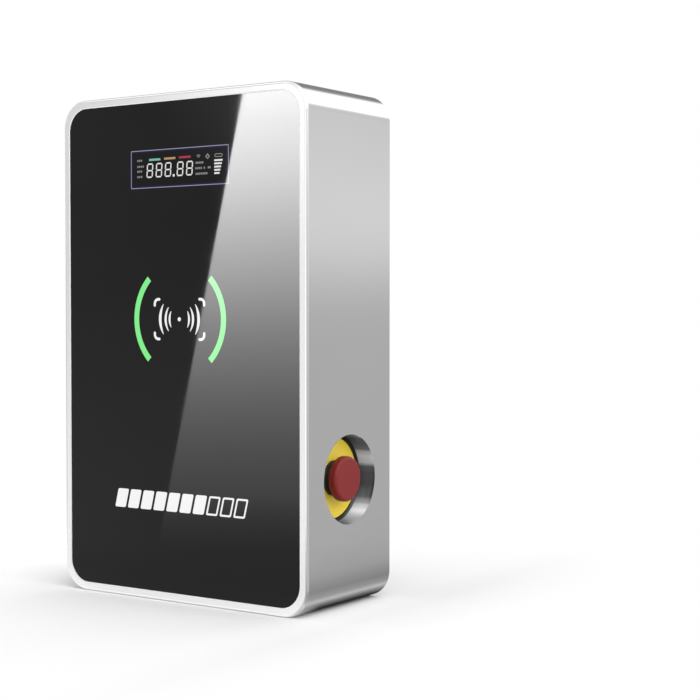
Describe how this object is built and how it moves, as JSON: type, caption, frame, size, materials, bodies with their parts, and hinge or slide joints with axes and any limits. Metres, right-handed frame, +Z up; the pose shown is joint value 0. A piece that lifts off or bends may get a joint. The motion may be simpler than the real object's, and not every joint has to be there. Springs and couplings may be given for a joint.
{
  "type": "ev wallbox",
  "caption": "Wall-mounted charger for electric cars: brushed metal box with a dark glass front, a mushroom stop button recessed in its side, cable glands underneath and a hanging bracket.",
  "frame": {"origin": "under the middle of the whole depth, box and wall bracket together, on the surface the box stands on", "axes": "+X to the right seen from the glass, +Y from the glass to the wall, +Z up"},
  "size_m": [0.247, 0.127, 0.4],
  "materials": {
    "black_gland": "satin",
    "black_moulding": "matte",
    "black_rubber": "matte",
    "brass_stud": "satin",
    "bright_cup": "turned, bright",
    "bright_screws": "bright",
    "brushed_shell": "brushed",
    "clear_plastic": "clear",
    "dark_glass": "gloss, printed dark behind",
    "green_board": "gloss",
    "grey_moulding": "matte",
    "painted_bracket": "satin",
    "painted_sheet": "satin",
    "painted_studs": "satin",
    "plated_steel": "zinc plated",
    "red_plastic": "satin",
    "spring_steel": "drawn",
    "yellow_plastic": "satin"
  },
  "bodies": {
    "charger": {"back_gasket": "black_rubber", "back_plate": "painted_sheet", "back_screws": "bright_screws", "board_posts": "plated_steel", "carrier_nuts": "plated_steel", "chassis_plate": "plated_steel", "chassis_posts": "plated_steel", "chassis_screws": "plated_steel", "contactor": "grey_moulding", "control_board": "green_board", "current_ring": "black_moulding", "din_rail": "plated_steel", "display_module": "black_moulding", "earth_stud": "brass_stud", "energy_meter": "grey_moulding", "front_board_screws": "plated_steel", "front_carrier": "black_moulding", "front_glass": "dark_glass", "gland_locknuts": "black_gland", "gland_washers": "black_rubber", "glass_seal": "black_rubber", "hanging_studs": "painted_studs", "large_gland_body": "black_gland", "large_gland_cap": "black_gland", "large_gland_insert": "black_rubber", "leakage_module": "grey_moulding", "led_board": "green_board", "light_guides": "clear_plastic", "power_supply": "black_moulding", "reader_board": "green_board", "shell": "brushed_shell", "small_gland_body": "black_gland", "small_gland_cap": "black_gland", "small_gland_insert": "black_rubber", "stop_collar": "black_moulding", "stop_contact_block": "grey_moulding", "stop_cup": "bright_cup", "stop_gasket": "black_rubber", "stop_legend": "yellow_plastic", "stop_nut": "black_moulding", "stop_spring": "spring_steel", "stud_nuts": "plated_steel", "terminal_block": "grey_moulding", "wall_bracket": "painted_bracket"},
    "plunger": {"stop_plunger": "black_moulding"},
    "head": {"stop_head": "red_plastic"}
  },
  "joints": [
    {"name": "stop_press", "type": "slide", "parent": "charger", "child": "plunger", "axis": [-1, 0, 0], "range_m": [0, 0.004], "stiffness_N_per_m": 300, "springref_m": -0.006, "deforming": ["stop_spring"]},
    {"name": "stop_twist", "type": "hinge", "parent": "plunger", "child": "head", "pos_m": [0.118, -0.0075, 0.1], "axis": [-1, 0, 0], "range_deg": [0, 45], "stiffness_Nm_per_rad": 0.02}
  ]
}
